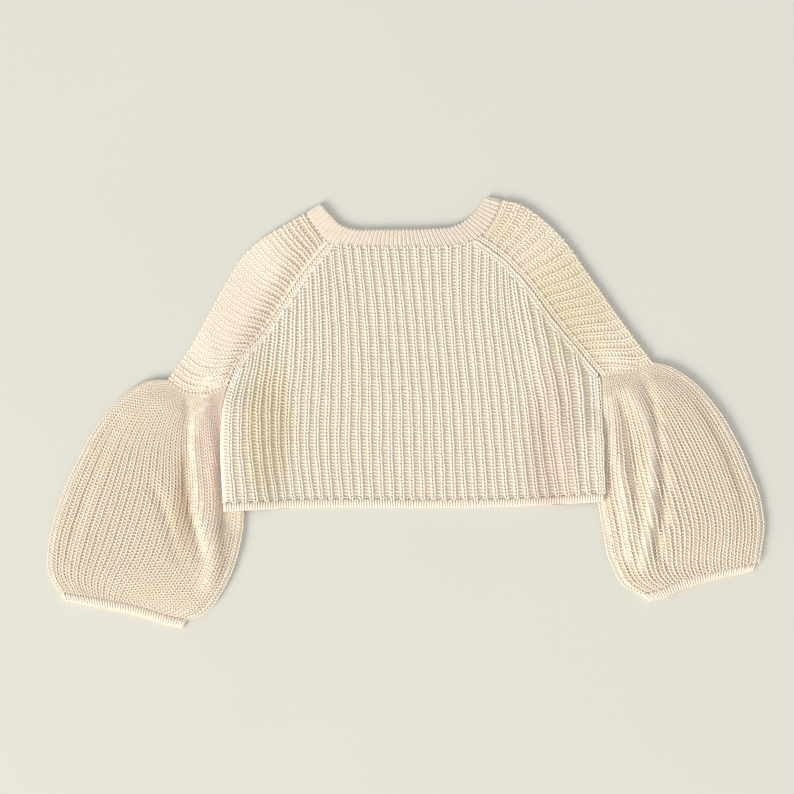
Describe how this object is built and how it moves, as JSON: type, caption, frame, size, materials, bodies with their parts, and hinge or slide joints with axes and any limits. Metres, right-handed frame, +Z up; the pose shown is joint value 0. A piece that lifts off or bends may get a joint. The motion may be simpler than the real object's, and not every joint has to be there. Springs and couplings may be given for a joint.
{
  "type": "cropped ribbed sweater",
  "caption": "Cropped rib-knit sweater with raglan shoulders, balloon sleeves and a wide neckband, laid flat with its front on its back.",
  "frame": {"origin": "middle of the laid-out sweater's outline, on the surface it lies on", "axes": "+X across the sweater towards the viewer's right sleeve, +Y from the hem to the neck, +Z up from the surface, out of the front"},
  "size_m": [0.9862, 0.598, 0.0198],
  "materials": {
    "body_yarn": "matt cream oat knitted yarn in chunky one-by-one rib",
    "sleeve_yarn": "matt oat knitted yarn in chunky rib, slightly darker",
    "band_yarn": "matt cream oat knitted yarn in a narrow linked band"
  },
  "bodies": {
    "root": {"front_panel": "body_yarn", "back_panel": "body_yarn", "hem_band": "band_yarn", "neckband": "band_yarn", "sleeve_upper_left": "sleeve_yarn", "sleeve_upper_right": "sleeve_yarn", "balloon_left": "sleeve_yarn", "balloon_right": "sleeve_yarn", "cuff_left": "band_yarn", "cuff_right": "band_yarn"}
  },
  "joints": []
}
